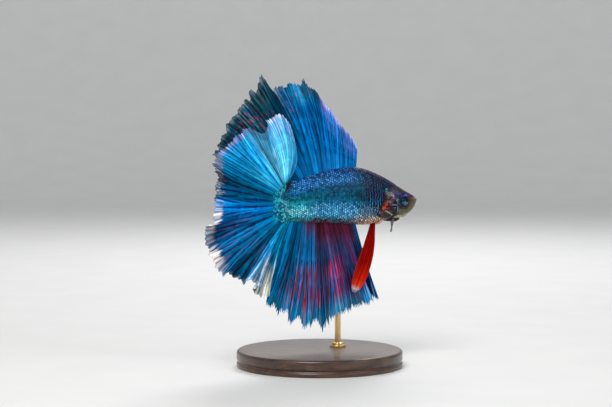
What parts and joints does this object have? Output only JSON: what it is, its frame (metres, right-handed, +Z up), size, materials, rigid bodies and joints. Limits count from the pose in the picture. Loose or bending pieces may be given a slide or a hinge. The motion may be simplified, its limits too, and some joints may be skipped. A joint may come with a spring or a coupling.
{
  "type": "betta fish",
  "caption": "Life-size museum model of a male halfmoon betta fish with spread, pleated fins, held by a short brass rod over a round wooden display base.",
  "frame": {"origin": "middle of the stand's underside", "axes": "+X towards the fish's head, +Y towards its left side, +Z up"},
  "size_m": [0.0686, 0.05, 0.086],
  "materials": {
    "skin": "painted and varnished fish skin, iridescent blue scales with a cyan and silver flank",
    "fin_blue": "thin tinted fin film with raised rays, royal blue with red streaks and pale tips",
    "fin_red": "thin tinted fin film, scarlet with a pale tip",
    "fin_clear": "almost clear film with fine pale rays",
    "membrane": "dark wine-red soft skin, satin",
    "eye": "glossy black pupil in a teal iris",
    "wood": "dark walnut under satin lacquer",
    "brass": "brushed and lacquered brass"
  },
  "bodies": {
    "root": {"head": "skin", "jaw_lower": "skin", "gill_cover_left": "skin", "gill_cover_right": "skin", "trunk_front": "skin", "trunk_rear": "skin", "tail_stalk": "skin", "fin_dorsal": "fin_blue", "fin_anal": "fin_blue", "fin_caudal": "fin_blue", "fin_pelvic_left": "fin_red", "fin_pelvic_right": "fin_red", "fin_pectoral_left": "fin_clear", "fin_pectoral_right": "fin_clear", "gill_membrane_left": "membrane", "gill_membrane_right": "membrane", "eye_left": "eye", "eye_right": "eye", "stand_base": "wood", "stand_rod": "brass", "stand_collar": "brass"}
  },
  "joints": []
}
